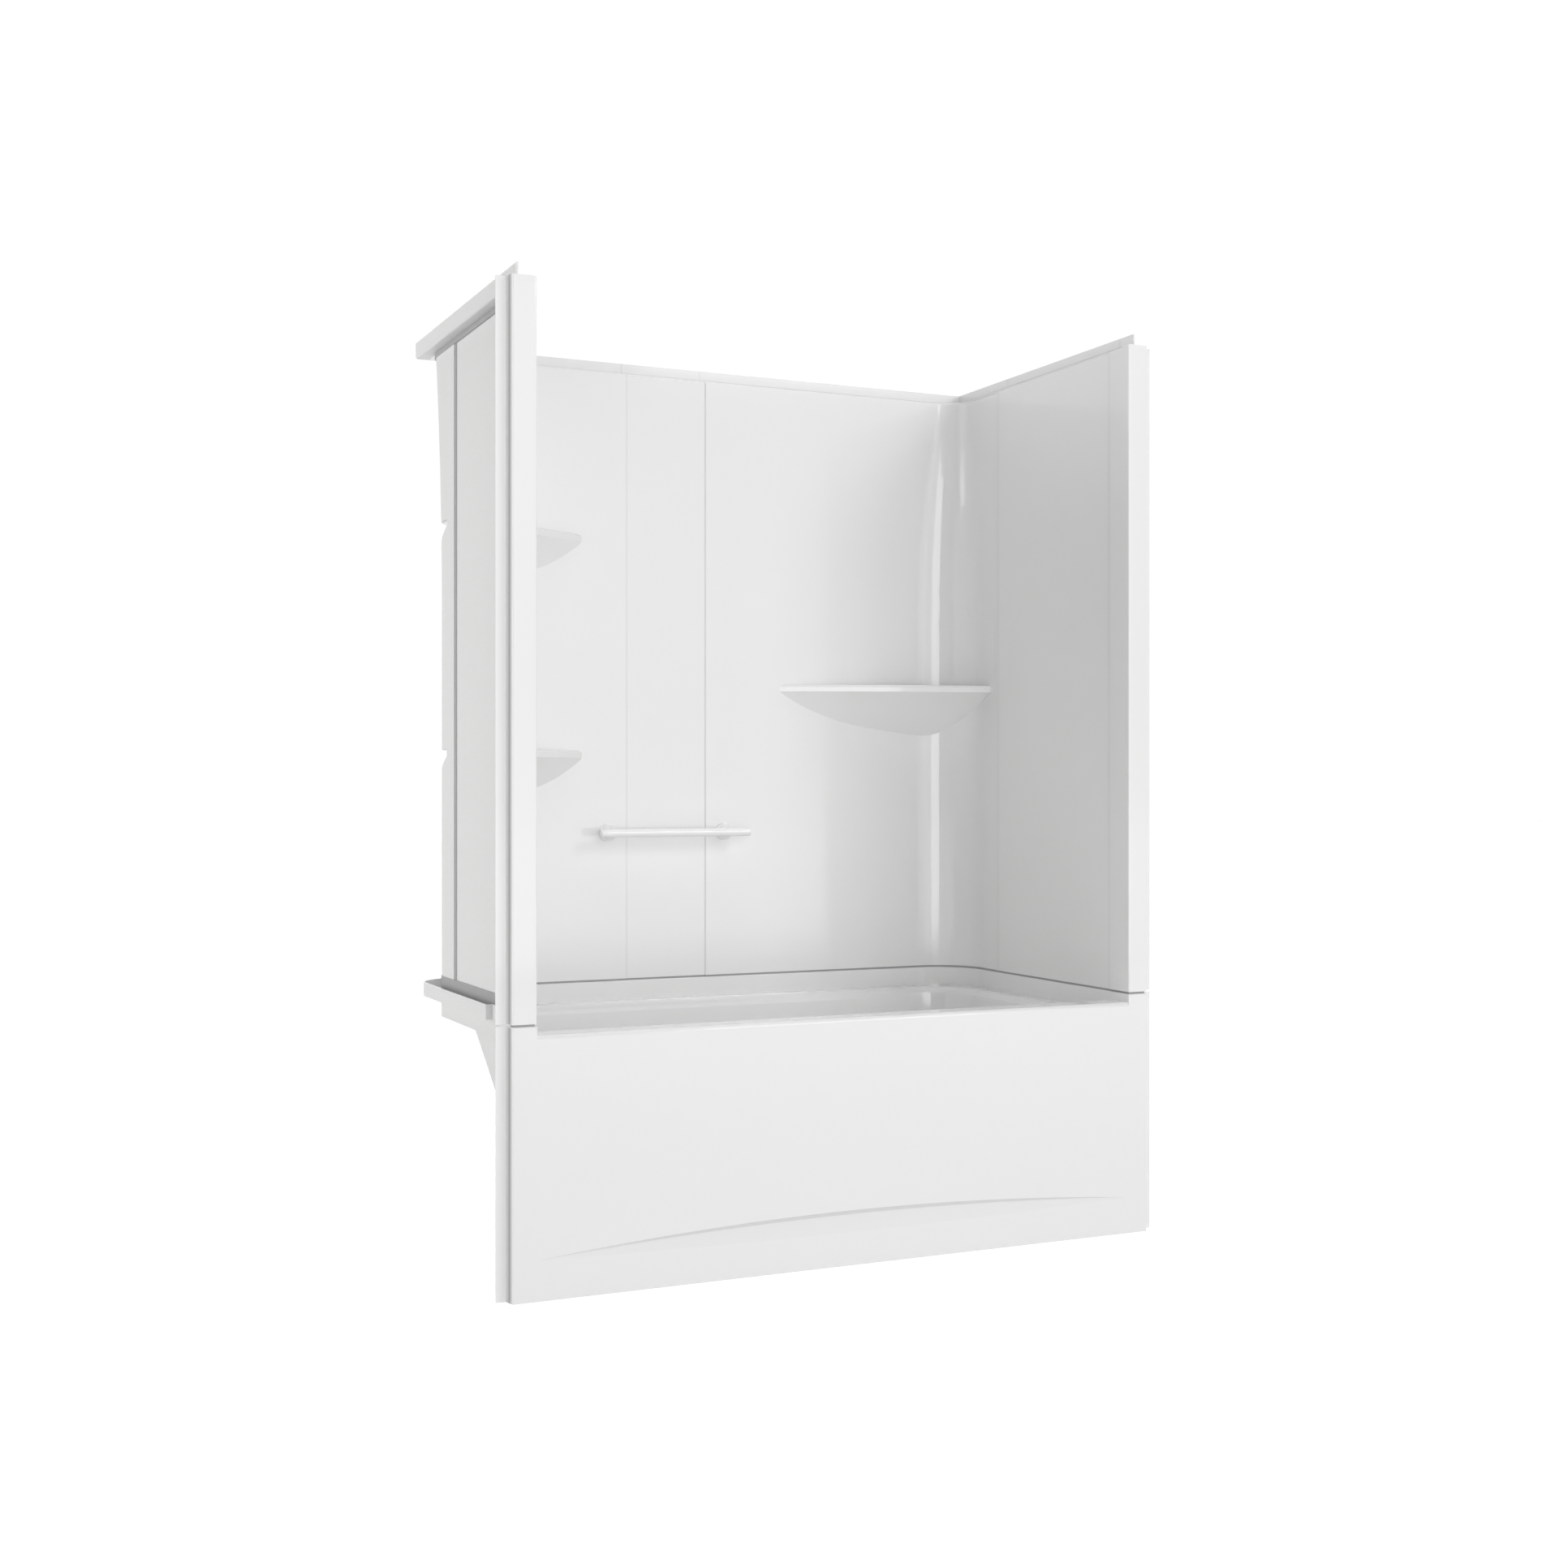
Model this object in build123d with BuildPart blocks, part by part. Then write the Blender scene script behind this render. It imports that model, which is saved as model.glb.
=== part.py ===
"""Alcove tub and shower unit: a tub with an integral apron, and five wall panels that lap over
each other, stand on a gasket round the tub and are held at the top by one rail.

X runs from the backrest end to the drain end, Y from the front to the back wall, Z up.
The origin is at the middle of the unit's footprint, on the floor.
"""
import os
from math import cos, radians, sin, sqrt, tan

from build123d import *

# Overall size and the heights that everything follows
overall_width = 1524.0
overall_depth = 807.0
overall_height = 2012.5
rail_rise = 30.0
upstand_height = 532.5
rim_height = 514.5
ledge_height = 487.5

# Front columns, each with a flange that is nailed to the framing
column_width = 48.7
column_draft = 5.8
flange_width = 20.5
flange_setback = 26.5
column_return = 76.0
column_edge_radius = 4.0
sheet_bend_radius = 2.0

# Wall sheets: a thin moulded skin with a reinforced layer behind its field
skin = 2.5
backing = 2.0
backing_overlap = 1.0
wall_step = 2.5
back_wall_clearance = 41.5
end_seam_from_back = 190.5
strip_width = 203.0
strip_centre_x = -116.5
lap_width = 13.0
lap_clearance = 0.2
lap_edge_radius = 2.2
seal_width = 15.5
seal_depth = 3.2
corner_radius = 119.0
corner_top_radius = 59.5
corner_taper_height = 590.0
corner_taper_steps = 4

# Gaskets under and over the panels
gasket_height = 4.5
gasket_setback = 1.2
column_gasket_setback = 4.0
bottom_band_height = 35.5
top_band_height = 13.0
band_face_step = 0.3

# Rail that caps the panels, with the upper nailing flange
rail_sheet = 3.0
rail_lip_thickness = 5.0
rail_side_setback = 41.5
rail_front_setback = 24.8
rail_edge_radius = 4.0
rail_bend_radius = 5.0
rail_corner_radius = 6.0

# Corner shelves, moulded into the corner panels and hollow behind
shelf_wall = 3.0
shelf_nose_height = 16.9
shelf_nose_radius = 6.0
shelf_bowl_depth = 108.0
shelf_bulge = 13.9
shelf_end_reach = 164.0
shelf_tip_bite = 1.2
shelf_room_bite = 1.8
right_shelf_height = 1248.0
right_shelf_seam_gap = 196.7
left_shelf_heights = (1591.5, 1080.0)
left_shelf_seam_gap = 111.7
shelf_overrun = 40.0
shelf_pocket_radius = 4.0

# Tub shell
tub_sheet = 6.0
upstand_thickness = 8.5
upstand_edge_radius = 2.5
front_rim_depth = 69.5
front_rim_edge_radius = 9.0
column_foot_cap = 5.0
column_foot_radius = 2.5
basin_roll_radius = 22.0
basin_margin = 50.0
basin_front_setback = 93.5
basin_corner_radius = 117.0
basin_floor_height = 112.0
basin_floor_fall = 7.0
basin_floor_corner_radius = 95.0
basin_floor_edge_radius = 48.0
backrest_angle = 18.0
drain_end_angle = 7.0
basin_side_angle = 5.0
channel_floor_height = 526.5
channel_floor_sheet = 5.0
channel_flange_height = 552.5
channel_flange_sheet = 3.5
channel_side_setback = 41.5
channel_corner_radius = 87.5
channel_neck_setback = 234.5
channel_neck_step = 12.9
apron_sheet = 6.0
apron_bar = 9.0
apron_arch_height = 115.0
apron_arch_rise = 34.0
apron_arch_end_margin = 10.0
apron_arch_bevel = 8.9
apron_arch_return = 45.5
apron_arch_depth = 4.5
apron_arch_steps = 6

# Outlets of the tub
drain_bore = 50.0
drain_recess_diameter = 84.0
drain_recess_depth = 1.5
drain_from_wall = 105.0
overflow_bore = 54.0
overflow_height = 415.0

# What carries the tub: a board under its floor on feet, and braces behind the apron
board_thickness = 12.0
board_side_margin = 63.0
board_left_margin = 60.0
board_drain_margin = 60.0
foot_diameter = 76.0
foot_neck_diameter = 56.0
foot_flange_height = 9.0
foot_columns = 3
foot_rows = 2
foot_margin = 62.0
brace_width = 60.0
brace_thickness = 15.0
brace_count = 3
brace_spacing = 420.0

# Towel bar
bar_diameter = 19.9
bar_length = 381.5
bar_standoff = 65.0
bar_height = 885.5
bar_end_radius = 2.5
post_inset = 40.5
post_neck_diameter = 17.0
post_base_diameter = 42.0
post_base_thickness = 5.0
post_flare_length = 16.0
post_cup_depth = 3.5
post_cup_clearance = 0.1
bar_screw_diameter = 6.0
bar_screw_clearance = 0.2
bar_screw_head_diameter = 12.0
bar_screw_head_height = 4.0
bar_screw_depth = 24.0
bar_plate_width = 34.0
bar_plate_height = 70.0
bar_plate_thickness = 4.0
bar_plate_corner_radius = 4.0

# One overrun serves every through cut, and one reach every choice of edges by their place
overrun = 5.0
pick_reach = 0.5

# Places that follow from the sizes above
front_y = -overall_depth / 2
back_y = overall_depth / 2
column_height = overall_height - rail_rise
column_back_x = overall_width / 2 - flange_width
column_outer_x = column_back_x - column_draft
opening_half = column_outer_x - column_width
flange_y = front_y + flange_setback
flange_back_y = flange_y + skin
end_wall_x = opening_half + wall_step
corner_wall_x = end_wall_x + skin + lap_clearance
back_wall_y = back_y - back_wall_clearance
strip_wall_y = back_wall_y + skin + lap_clearance
end_seam_y = back_wall_y - end_seam_from_back
corner_tongue_y = end_seam_y - lap_width
panel_bottom = upstand_height + gasket_height
panel_top = column_height - rail_lip_thickness
field_bottom = panel_bottom + bottom_band_height
field_top = panel_top - top_band_height
taper_base = panel_top - corner_taper_height
strip_right_x = strip_centre_x + strip_width / 2
strip_left_x = strip_centre_x - strip_width / 2
right_shelf_reach = corner_wall_x - strip_right_x - right_shelf_seam_gap
left_shelf_reach = corner_wall_x + strip_left_x - left_shelf_seam_gap
rail_half_width = overall_width / 2 - rail_side_setback
channel_half_width = overall_width / 2 - channel_side_setback
apron_arch_half_length = opening_half - apron_arch_end_margin
upstand_outer_x = end_wall_x + upstand_thickness
upstand_outer_y = back_wall_y + upstand_thickness
upstand_corner_radius = corner_radius + upstand_thickness


def placed(edges, axis, low, high):
    """The edges whose middles lie from low to high along an axis."""
    return edges.filter_by_position(axis, low - pick_reach, high + pick_reach)


def bay(half_width, start_y, end_y, radius):
    """Plan of the bay: a rectangle from start_y back to end_y, with rounded back corners."""
    with BuildSketch(Plane.XY, mode=Mode.PRIVATE) as plan:
        with Locations((0, (start_y + end_y) / 2)):
            Rectangle(2 * half_width, end_y - start_y)
        fillet(plan.vertices().group_by(Axis.Y)[-1], radius)
    return plan.sketch


def strip_plan(x_from, x_to, y_from, y_to):
    """Plan of an upright rectangle between two X and two Y planes."""
    with BuildSketch(Plane.XY, mode=Mode.PRIVATE) as plan:
        with Locations(((x_from + x_to) / 2, (y_from + y_to) / 2)):
            Rectangle(abs(x_to - x_from), abs(y_to - y_from))
    return plan.sketch


def slab(plan, z_from, z_to):
    """A plan extruded between two heights."""
    with BuildPart(mode=Mode.PRIVATE) as solid:
        with BuildSketch(Plane.XY.offset(z_from)):
            add(plan)
        extrude(amount=z_to - z_from)
    return solid.part


def corner_plan(inset, thickness, radius, edge_y, edge_x):
    """Plan of a corner sheet that lies inset behind the inner wall faces."""
    wall_x = corner_wall_x + inset
    wall_y = back_wall_y + inset
    inner = radius + inset
    centre = (wall_x - inner, wall_y - inner)
    with BuildSketch(Plane.XY, mode=Mode.PRIVATE) as plan:
        with BuildLine():
            Line((wall_x, edge_y), (wall_x, centre[1]))
            CenterArc(centre, inner, 0, 90)
            Line((centre[0], wall_y), (edge_x, wall_y))
            Line((edge_x, wall_y), (edge_x, wall_y + thickness))
            Line((edge_x, wall_y + thickness), (centre[0], wall_y + thickness))
            CenterArc(centre, inner + thickness, 90, -90)
            Line((wall_x + thickness, centre[1]), (wall_x + thickness, edge_y))
            Line((wall_x + thickness, edge_y), (wall_x, edge_y))
        make_face()
    return plan.sketch


def corner_radius_at(height):
    """The corner is round low down and tightens towards the rail."""
    rise_share = max(0, height - taper_base) / corner_taper_height
    return corner_radius - (corner_radius - corner_top_radius) * rise_share**2


def corner_sheet(inset, thickness, edge_y, edge_x, z_from, z_to):
    """A corner sheet: straight up to the taper, then lofted to the tighter top."""
    with BuildPart(mode=Mode.PRIVATE) as sheet:
        with BuildSketch(Plane.XY.offset(z_from)):
            add(corner_plan(inset, thickness, corner_radius, edge_y, edge_x))
        extrude(amount=taper_base - z_from)
        for step in range(corner_taper_steps + 1):
            height = taper_base + (z_to - taper_base) * step / corner_taper_steps
            with BuildSketch(Plane.XY.offset(height)):
                add(corner_plan(inset, thickness, corner_radius_at(height), edge_y, edge_x))
        loft()
    return sheet.part


def shelf_plan(reach, end_reach, margin, bite):
    """Plan of a corner shelf: two wall sides and a front edge that bows out a little."""
    corner = (corner_wall_x + bite, back_wall_y + bite)
    tip = (corner_wall_x - reach, back_wall_y + bite)
    end_tip = (corner_wall_x + bite, back_wall_y - end_reach)
    length = sqrt(reach**2 + end_reach**2)
    bow = margin * (reach / length)
    middle = (
        (tip[0] + end_tip[0]) / 2 - bow * end_reach / reach,
        (tip[1] + end_tip[1]) / 2 - bow,
    )
    with BuildSketch(Plane.XY, mode=Mode.PRIVATE) as plan:
        with BuildLine():
            Line(corner, tip)
            ThreePointArc(tip, middle, end_tip)
            Line(end_tip, corner)
        make_face()
    return plan.sketch


# Sections of a shelf's bowl: how far down it is, and what is left of its two reaches there
bowl_shares = (
    (0, 1, 1),
    (0.16, 0.95, 0.79),
    (0.36, 0.868, 0.57),
    (0.58, 0.75, 0.36),
    (0.78, 0.575, 0.2),
    (0.92, 0.36, 0.1),
    (1, 0.2, 0.05),
)


def shelf_body(top, reach, wall, bite):
    """A shelf drawn in by wall all round: a nose with a bowl below that runs into the corner."""
    nose_reach = reach - wall * (reach + shelf_end_reach) / shelf_end_reach
    nose_end_reach = shelf_end_reach * nose_reach / reach
    nose_top = top - wall
    nose_bottom = top - shelf_nose_height
    depth = shelf_bowl_depth - wall
    with BuildPart(mode=Mode.PRIVATE) as body:
        with BuildSketch(Plane.XY.offset(nose_bottom)):
            add(shelf_plan(nose_reach, nose_end_reach, shelf_bulge, bite))
        extrude(amount=nose_top - nose_bottom)
        if not wall:
            front = body.edges().filter_by(GeomType.CIRCLE)
            fillet(front.group_by(Axis.Z)[-1], shelf_nose_radius)
        for drop_share, reach_share, end_share in bowl_shares:
            with BuildSketch(Plane.XY.offset(nose_bottom - depth * drop_share)):
                add(
                    shelf_plan(
                        nose_reach * reach_share,
                        nose_end_reach * end_share,
                        shelf_bulge * end_share,
                        bite,
                    )
                )
        loft(ruled=False)
    return body.part


def on_sheet_back(edge):
    """True for an edge that lies on the hidden side of a corner sheet."""
    middle = edge.center()
    fill = skin + backing
    return max(middle.X - corner_wall_x, middle.Y - back_wall_y) > fill - pick_reach


def corner_panel(edge_x, shelf_tops, shelf_reach):
    """A corner panel of the drain end, from its end tongue to its back edge at edge_x."""
    outer_start_x = edge_x + lap_width + seal_width
    fill = skin + backing
    with BuildPart(mode=Mode.PRIVATE) as panel:
        add(corner_sheet(0, skin, corner_tongue_y, edge_x, panel_bottom, panel_top))
        add(
            corner_sheet(
                skin - backing_overlap,
                backing + backing_overlap,
                corner_tongue_y,
                outer_start_x,
                field_bottom,
                field_top,
            )
        )
        for top in shelf_tops:
            room_plan = bay(
                corner_wall_x + shelf_room_bite,
                0,
                back_wall_y + shelf_room_bite,
                corner_radius_at(top) + shelf_room_bite,
            )
            bowl_bottom = top - shelf_nose_height - shelf_bowl_depth
            room = slab(room_plan, bowl_bottom - overrun, top + overrun)
            add(shelf_body(top, shelf_reach, 0, shelf_tip_bite) & room)
        for top in shelf_tops:
            add(shelf_body(top, shelf_reach, shelf_wall, fill + shelf_overrun), mode=Mode.SUBTRACT)
            pocket_edges = placed(panel.edges(), Axis.Z, top - shelf_wall, top - shelf_wall)
            fillet(pocket_edges.filter_by(on_sheet_back), shelf_pocket_radius)
        room_edge = panel.edges().filter_by(Axis.Z).group_by(Axis.X)[0].group_by(Axis.Y)[0]
        fillet(room_edge, lap_edge_radius)
    return panel.part


def end_panel_plan():
    """Plan of the front wall sheet of the drain end, folded round the front column."""
    step_y = front_y + column_return
    points = [
        (overall_width / 2, flange_y),
        (column_back_x, flange_y),
        (column_outer_x, front_y),
        (opening_half, front_y),
        (opening_half, step_y),
        (end_wall_x, step_y + wall_step),
        (end_wall_x, end_seam_y),
        (end_wall_x + skin, end_seam_y),
        (end_wall_x + skin, step_y + wall_step),
        (opening_half + skin, step_y),
        (opening_half + skin, front_y + skin),
        (column_outer_x - skin, front_y + skin),
        (column_back_x - skin, flange_back_y),
        (overall_width / 2, flange_back_y),
    ]
    with BuildSketch(Plane.XY, mode=Mode.PRIVATE) as plan:
        with BuildLine():
            Polyline(*points, close=True)
        make_face()
        corners = plan.vertices()
        fillet(corners.sort_by_distance((opening_half, front_y))[0], column_edge_radius)
        corners = plan.vertices()
        fillet(corners.sort_by_distance((column_outer_x, front_y))[0], column_edge_radius)
        corners = plan.vertices()
        fillet(corners.sort_by_distance((opening_half + skin, front_y + skin))[0], sheet_bend_radius)
        corners = plan.vertices()
        fillet(corners.sort_by_distance((column_outer_x - skin, front_y + skin))[0], sheet_bend_radius)
        corners = plan.vertices()
        fillet(corners.sort_by_distance((column_back_x, flange_y))[0], sheet_bend_radius)
        corners = plan.vertices()
        fillet(corners.sort_by_distance((end_wall_x, end_seam_y))[0], lap_edge_radius)
    return plan.sketch


def column_foot_plan(side, width):
    """Plan of a strip of the tub's column foot, inwards from its drafted outer side."""
    points = [
        (side * (column_outer_x - width), front_y),
        (side * column_outer_x, front_y),
        (side * column_back_x, flange_y),
        (side * column_back_x, flange_back_y),
        (side * (column_back_x - width), flange_back_y),
        (side * (column_back_x - width), flange_y),
    ]
    with BuildSketch(Plane.XY, mode=Mode.PRIVATE) as plan:
        with BuildLine():
            Polyline(*points, close=True)
        make_face()
    return plan.sketch


def basin_plan(half_left, half_right, near_y, far_y, radius):
    """Plan of the basin: a rounded rectangle between its two ends and two sides."""
    with BuildSketch(Plane.XY, mode=Mode.PRIVATE) as plan:
        with Locations(((half_right - half_left) / 2, (near_y + far_y) / 2)):
            RectangleRounded(half_left + half_right, far_y - near_y, radius)
    return plan.sketch


# The basin's sides as planes that lean in towards the floor
basin_half = end_wall_x - basin_margin
basin_near_y = front_y + basin_front_setback
basin_far_y = back_wall_y - basin_margin
roll_bottom = ledge_height - basin_roll_radius


def basin_section(height, grow):
    """Plan of the basin at a height, grown outwards by grow."""
    drop = ledge_height - height
    share = drop / (ledge_height - basin_floor_height)
    radius = basin_corner_radius + (basin_floor_corner_radius - basin_corner_radius) * share
    return basin_plan(
        basin_half - drop * tan(radians(backrest_angle)) + grow,
        basin_half - drop * tan(radians(drain_end_angle)) + grow,
        basin_near_y + drop * tan(radians(basin_side_angle)) - grow,
        basin_far_y - drop * tan(radians(basin_side_angle)) + grow,
        radius + grow,
    )


def basin_solid(grow, floor_height, fall, edge_radius):
    """The basin as a filled form below the roll, with its floor edge rounded."""
    slope = fall / (2 * basin_half)
    floor = Plane(origin=(0, 0, floor_height), x_dir=(1, 0, -slope), z_dir=(slope, 0, 1))
    with BuildPart(mode=Mode.PRIVATE) as basin:
        with BuildSketch(floor):
            add(basin_section(floor_height, grow))
        with BuildSketch(Plane.XY.offset(roll_bottom)):
            add(basin_section(roll_bottom, grow))
        loft(ruled=True)
        fillet(basin.faces().sort_by(Axis.Z)[0].edges(), edge_radius)
    return basin.part


roll_angles = (0, 22.5, 45, 67.5, 90)


def basin_roll(grow):
    """The rolled edge between the basin's wall and the ledge, as a flared form."""
    with BuildPart(mode=Mode.PRIVATE) as roll:
        for angle in roll_angles:
            rise = basin_roll_radius * sin(radians(angle))
            flare = basin_roll_radius * (1 - cos(radians(angle)))
            with BuildSketch(Plane.XY.offset(roll_bottom + rise)):
                add(basin_section(roll_bottom, grow + flare))
        loft(ruled=True)
    return roll.part


def mirrored(part):
    """The same piece made for the other end."""
    return mirror(part, about=Plane.YZ, mode=Mode.PRIVATE)


# Tub: basin, ledge, upstand, apron and column feet are one moulded shell
cavity_floor = basin_solid(0, basin_floor_height, basin_floor_fall, basin_floor_edge_radius)
cavity_roll = basin_roll(0)
basin_outer = basin_solid(
    tub_sheet, basin_floor_height - basin_floor_fall - tub_sheet, 0, basin_floor_edge_radius
)
basin_outer_roll = basin_roll(tub_sheet)
basin_underside = basin_floor_height - basin_floor_fall - tub_sheet

ledge_plan = bay(upstand_outer_x, front_y + apron_sheet, upstand_outer_y, upstand_corner_radius)
room_plan = bay(end_wall_x, front_y + front_rim_depth, back_wall_y, corner_radius)
channel_plan = bay(channel_half_width, front_y + channel_neck_setback, back_y, channel_corner_radius)
channel_neck_x = channel_half_width - channel_neck_step
channel_neck_plan = bay(channel_neck_x, flange_back_y, back_y / 2, tub_sheet)
channel_inner_plan = bay(
    channel_half_width - channel_flange_sheet,
    front_y + channel_neck_setback + channel_flange_sheet,
    back_y - channel_flange_sheet,
    channel_corner_radius - channel_flange_sheet,
)
channel_neck_inner_plan = bay(
    channel_neck_x - channel_flange_sheet, front_y, back_y / 2 + overrun, tub_sheet
)
channel_bottom = channel_floor_height - channel_floor_sheet

# Arched relief low on the apron: a bevel that faces down, deepest at the middle
with BuildPart() as apron_relief:
    for step in range(-apron_arch_steps, apron_arch_steps + 1):
        share = step / apron_arch_steps
        size = max(1 - share**2, 1 / apron_arch_steps**2)
        top = apron_arch_height - apron_arch_rise * share**2
        with BuildSketch(Plane.YZ.offset(apron_arch_half_length * share)):
            with BuildLine():
                Polyline(
                    (front_y - apron_arch_depth * size, top),
                    (front_y, top),
                    (front_y + apron_arch_depth * size, top - apron_arch_bevel * size),
                    (front_y, top - apron_arch_return * size),
                    (front_y - apron_arch_depth * size, top - apron_arch_return * size),
                    close=True,
                )
            make_face()
    loft()


def on_foot_outline(edge):
    """True for an upper edge of a column foot that shows from the front."""
    middle = edge.center()
    return middle.Y < flange_y - skin and abs(middle.X) > opening_half + skin


with BuildPart() as tub_shell:
    # Ledge and upstand round the two ends and the back
    add(slab(ledge_plan, ledge_height - tub_sheet, upstand_height))
    add(slab(room_plan, ledge_height, upstand_height + overrun), mode=Mode.SUBTRACT)
    # Open the front of the ring down to the rim
    rim_clear = strip_plan(-opening_half, opening_half, front_y - overrun, front_y + front_rim_depth)
    add(slab(rim_clear, rim_height, upstand_height + overrun), mode=Mode.SUBTRACT)
    # Hollow the front rim from below
    rim_hollow = strip_plan(
        -opening_half, opening_half, front_y, front_y + front_rim_depth - tub_sheet
    )
    add(slab(rim_hollow, 0, rim_height - tub_sheet), mode=Mode.SUBTRACT)
    room_edge = placed(tub_shell.edges(), Axis.Z, upstand_height, upstand_height)
    room_edge = placed(room_edge, Axis.Y, front_y + front_rim_depth, back_wall_y)
    room_edge = placed(room_edge, Axis.X, -end_wall_x, end_wall_x)
    fillet(room_edge, upstand_edge_radius)
    # Apron, with a bar of extra thickness along its upper edge, and the column feet
    apron_plan = strip_plan(-column_outer_x, column_outer_x, front_y, front_y + apron_sheet)
    add(slab(apron_plan, 0, rim_height))
    bar_plan = strip_plan(-opening_half, opening_half, front_y, front_y + apron_sheet + apron_bar)
    add(slab(bar_plan, rim_height - tub_sheet - apron_bar, rim_height))
    for side in (-1, 1):
        inner = side * opening_half
        foot_face = strip_plan(inner, side * column_outer_x, front_y, front_y + apron_sheet)
        add(slab(foot_face, 0, upstand_height))
        add(slab(column_foot_plan(side, apron_sheet), 0, upstand_height))
        foot_cap = column_foot_plan(side, column_width)
        add(slab(foot_cap, upstand_height - column_foot_cap, upstand_height))
        foot_return = strip_plan(
            inner, side * upstand_outer_x, front_y, front_y + column_return
        )
        add(slab(foot_return, ledge_height - tub_sheet, upstand_height))
        nailing_flange = strip_plan(
            side * (column_back_x - apron_sheet), side * overall_width / 2, flange_y, flange_back_y
        )
        add(slab(nailing_flange, 0, upstand_height))
        outer_edge = placed(tub_shell.edges().filter_by(Axis.Z), Axis.Y, front_y, front_y)
        outer_edge = placed(outer_edge, Axis.X, side * column_outer_x, side * column_outer_x)
        fillet(outer_edge, column_edge_radius)
    # Channel round the outside, with the tub's own flange
    with BuildSketch(Plane.XY.offset(channel_bottom)):
        add(channel_plan)
        add(channel_neck_plan)
        add(ledge_plan, mode=Mode.SUBTRACT)
    extrude(amount=channel_floor_sheet)
    with BuildSketch(Plane.XY.offset(channel_bottom)):
        add(channel_plan)
        add(channel_inner_plan, mode=Mode.SUBTRACT)
        add(
            strip_plan(
                -channel_neck_x,
                channel_neck_x,
                front_y,
                front_y + channel_neck_setback + channel_flange_sheet,
            ),
            mode=Mode.SUBTRACT,
        )
    extrude(amount=channel_flange_height - channel_bottom)
    with BuildSketch(Plane.XY.offset(channel_bottom)):
        for side in (-1, 1):
            add(
                strip_plan(
                    side * (channel_neck_x - channel_flange_sheet),
                    side * channel_neck_x,
                    flange_back_y,
                    front_y + channel_neck_setback + channel_flange_sheet,
                )
            )
    extrude(amount=channel_flange_height - channel_bottom)
    # Basin
    add(basin_outer)
    add(basin_outer_roll)
    add(cavity_floor, mode=Mode.SUBTRACT)
    add(cavity_roll, mode=Mode.SUBTRACT)
    # Drain and overflow
    drain_x = (
        basin_half
        - (ledge_height - basin_floor_height) * tan(radians(drain_end_angle))
        - drain_from_wall
    )
    drain_y = (basin_near_y + basin_far_y) / 2
    with Locations((drain_x, drain_y, basin_floor_height - basin_floor_fall)):
        Cylinder(drain_bore / 2, 4 * tub_sheet, mode=Mode.SUBTRACT)
    recess_top = basin_floor_height + basin_floor_fall
    recess_floor = basin_floor_height - basin_floor_fall / 2 - drain_recess_depth
    with Locations((drain_x, drain_y, (recess_top + recess_floor) / 2)):
        Cylinder(drain_recess_diameter / 2, recess_top - recess_floor, mode=Mode.SUBTRACT)
    overflow_x = basin_half - (ledge_height - overflow_height) * tan(radians(drain_end_angle))
    overflow_plane = Plane(
        origin=(overflow_x, drain_y, overflow_height),
        x_dir=(0, 1, 0),
        z_dir=(cos(radians(drain_end_angle)), 0, -sin(radians(drain_end_angle))),
    )
    with BuildSketch(overflow_plane):
        Circle(overflow_bore / 2)
    extrude(amount=4 * tub_sheet, both=True, mode=Mode.SUBTRACT)
    # Relief in the apron's face
    add(apron_relief.part, mode=Mode.SUBTRACT)
    # Rounded upper edges of the column feet, and of the front rim
    foot_edges = placed(tub_shell.edges(), Axis.Z, upstand_height, upstand_height)
    foot_edges = placed(foot_edges, Axis.Y, front_y, flange_y)
    foot_edges = foot_edges.filter_by(on_foot_outline)
    fillet(foot_edges, column_foot_radius)
    rim_edges = placed(tub_shell.edges().filter_by(Axis.X), Axis.Z, rim_height, rim_height)
    fillet(rim_edges, front_rim_edge_radius)
tub_shell.part.label = "tub_shell"


# Rail: an L section that runs round the two ends and the back, over the panels' top edges
rail_front_y = front_y + rail_front_setback
rail_outer_plan = bay(rail_half_width, rail_front_y, back_y, rail_corner_radius)
rail_room_plan = bay(opening_half, rail_front_y - overrun, back_wall_y, corner_top_radius)
rail_flange_room_plan = bay(
    rail_half_width - rail_sheet,
    rail_front_y - overrun,
    back_y - rail_sheet,
    rail_corner_radius - rail_sheet,
)


def on_rail_outside(edge):
    """True for an edge that lies along the outer face of the rail."""
    middle = edge.center()
    return max(abs(middle.X) - rail_half_width, middle.Y - back_y) > -rail_corner_radius


with BuildPart() as top_rail:
    add(slab(rail_outer_plan, panel_top, overall_height))
    add(slab(rail_flange_room_plan, column_height, overall_height + overrun), mode=Mode.SUBTRACT)
    add(slab(rail_room_plan, panel_top - overrun, overall_height), mode=Mode.SUBTRACT)
    inner_edges = placed(top_rail.edges(), Axis.Z, column_height, column_height)
    inner_edges = placed(inner_edges, Axis.X, -opening_half, opening_half)
    inner_edges = placed(inner_edges, Axis.Y, rail_front_y + overrun, back_wall_y)
    fillet(inner_edges, rail_edge_radius)
    outer_edges = top_rail.faces().sort_by(Axis.Z)[0].edges().filter_by(on_rail_outside)
    fillet(outer_edges, rail_bend_radius)
top_rail.part.label = "top_rail"


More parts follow.
